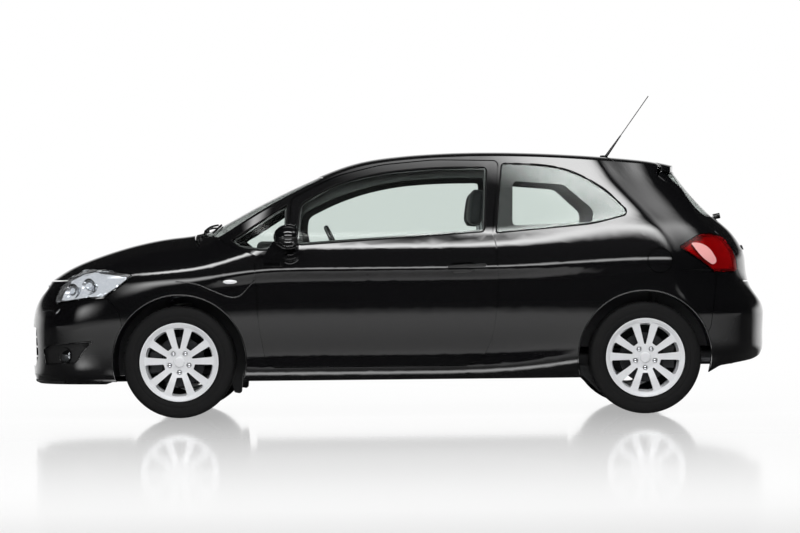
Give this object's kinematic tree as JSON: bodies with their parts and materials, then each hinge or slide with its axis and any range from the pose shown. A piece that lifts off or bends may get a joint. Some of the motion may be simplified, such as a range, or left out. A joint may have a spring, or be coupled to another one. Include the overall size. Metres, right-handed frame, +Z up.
{
  "type": "hatchback car",
  "caption": "Three-door hatchback car with opening doors, bonnet, tailgate and fuel flap, steered front wheels, alloy wheels and a fitted cabin.",
  "frame": {"origin": "middle of the car's length and width, on the ground", "axes": "+X to the car's rear, +Y to its right side, +Z up"},
  "size_m": [4.2113, 2.008, 1.8149],
  "materials": {
    "paint": "glossy black",
    "glass": "tinted",
    "bumper_paint": "glossy black",
    "lamp_clear": "clear",
    "lamp_red": "red",
    "black_plastic": "grained",
    "tyre": "rubber",
    "alloy": "silver painted",
    "steel": "machined",
    "iron": "cast",
    "underbody": "satin",
    "cloth": "woven",
    "aluminium": "cast"
  },
  "bodies": {
    "body": {"side_panels": "paint", "roof_panel": "paint", "front_wings": "paint", "floor_pan": "underbody", "cowl": "black_plastic", "windscreen": "glass", "side_glass": "glass", "front_bumper": "bumper_paint", "rear_bumper": "bumper_paint", "headlamps": "lamp_clear", "tail_lamps": "lamp_red", "engine_block": "aluminium", "front_subframe": "underbody", "rear_axle": "underbody", "exhaust": "steel", "fuel_tank": "black_plastic", "dashboard": "black_plastic", "front_seats": "cloth", "rear_seat": "cloth", "wheelhouses": "underbody"},
    "fuel_flap": {"fuel_flap": "paint"},
    "steering_wheel": {"steering_wheel": "black_plastic"},
    "bonnet": {"bonnet": "paint"},
    "tailgate": {"tailgate": "paint", "tailgate_glass": "glass"},
    "door_left": {"door_left": "paint", "door_glass_left": "glass", "mirror_left": "black_plastic"},
    "knuckle_left": {"knuckle_left": "iron"},
    "wheel_front_left": {"tyre_front_left": "tyre", "rim_front_left": "alloy", "disc_front_left": "iron"},
    "wheel_rear_left": {"tyre_rear_left": "tyre", "rim_rear_left": "alloy", "disc_rear_left": "iron"},
    "door_right": {"door_right": "paint", "door_glass_right": "glass", "mirror_right": "black_plastic"},
    "knuckle_right": {"knuckle_right": "iron"},
    "wheel_front_right": {"tyre_front_right": "tyre", "rim_front_right": "alloy", "disc_front_right": "iron"},
    "wheel_rear_right": {"tyre_rear_right": "tyre", "rim_rear_right": "alloy", "disc_rear_right": "iron"}
  },
  "joints": [
    {"name": "steer_left", "type": "hinge", "parent": "body", "child": "knuckle_left", "pos_m": [-1.225, -0.706, 0.19], "axis": [0, 0.216, 0.9764], "range_deg": [-35, 35]},
    {"name": "steer_right", "type": "hinge", "parent": "body", "child": "knuckle_right", "pos_m": [-1.225, 0.706, 0.19], "axis": [0, -0.216, 0.9764], "range_deg": [-35, 35]},
    {"name": "steering_wheel_turn", "type": "hinge", "parent": "body", "child": "steering_wheel", "pos_m": [-0.335, -0.37, 0.905], "axis": [0.9063, 0, 0.4226], "range_deg": [-525, 525]},
    {"name": "wheel_front_left_spin", "type": "hinge", "parent": "knuckle_left", "child": "wheel_front_left", "pos_m": [-1.225, -0.762, 0.314], "axis": [0, 1, 0], "continuous": true},
    {"name": "wheel_rear_left_spin", "type": "hinge", "parent": "body", "child": "wheel_rear_left", "pos_m": [1.375, -0.762, 0.314], "axis": [0, 1, 0], "continuous": true},
    {"name": "wheel_front_right_spin", "type": "hinge", "parent": "knuckle_right", "child": "wheel_front_right", "pos_m": [-1.225, 0.762, 0.314], "axis": [0, 1, 0], "continuous": true},
    {"name": "wheel_rear_right_spin", "type": "hinge", "parent": "body", "child": "wheel_rear_right", "pos_m": [1.375, 0.762, 0.314], "axis": [0, 1, 0], "continuous": true},
    {"name": "door_left_swing", "type": "hinge", "parent": "body", "child": "door_left", "pos_m": [-0.846, -0.871, 0.6], "axis": [0, 0, 1], "range_deg": [-68, 0]},
    {"name": "door_right_swing", "type": "hinge", "parent": "body", "child": "door_right", "pos_m": [-0.846, 0.871, 0.6], "axis": [0, 0, 1], "range_deg": [0, 68]},
    {"name": "bonnet_lift", "type": "hinge", "parent": "body", "child": "bonnet", "pos_m": [-1.04, 0, 0.985], "axis": [0, 1, 0], "range_deg": [0, 50]},
    {"name": "tailgate_lift", "type": "hinge", "parent": "body", "child": "tailgate", "pos_m": [1.45, 0, 1.4], "axis": [0, 1, 0], "range_deg": [-80, 0]},
    {"name": "fuel_flap_swing", "type": "hinge", "parent": "body", "child": "fuel_flap", "pos_m": [1.38, -0.862, 0.854], "axis": [0, 0, 1], "range_deg": [-95, 0]}
  ],
  "couplings": [
    {"joint": "steer_right", "follows": "steer_left", "ratio": 1},
    {"joint": "steering_wheel_turn", "follows": "steer_left", "ratio": 15}
  ]
}
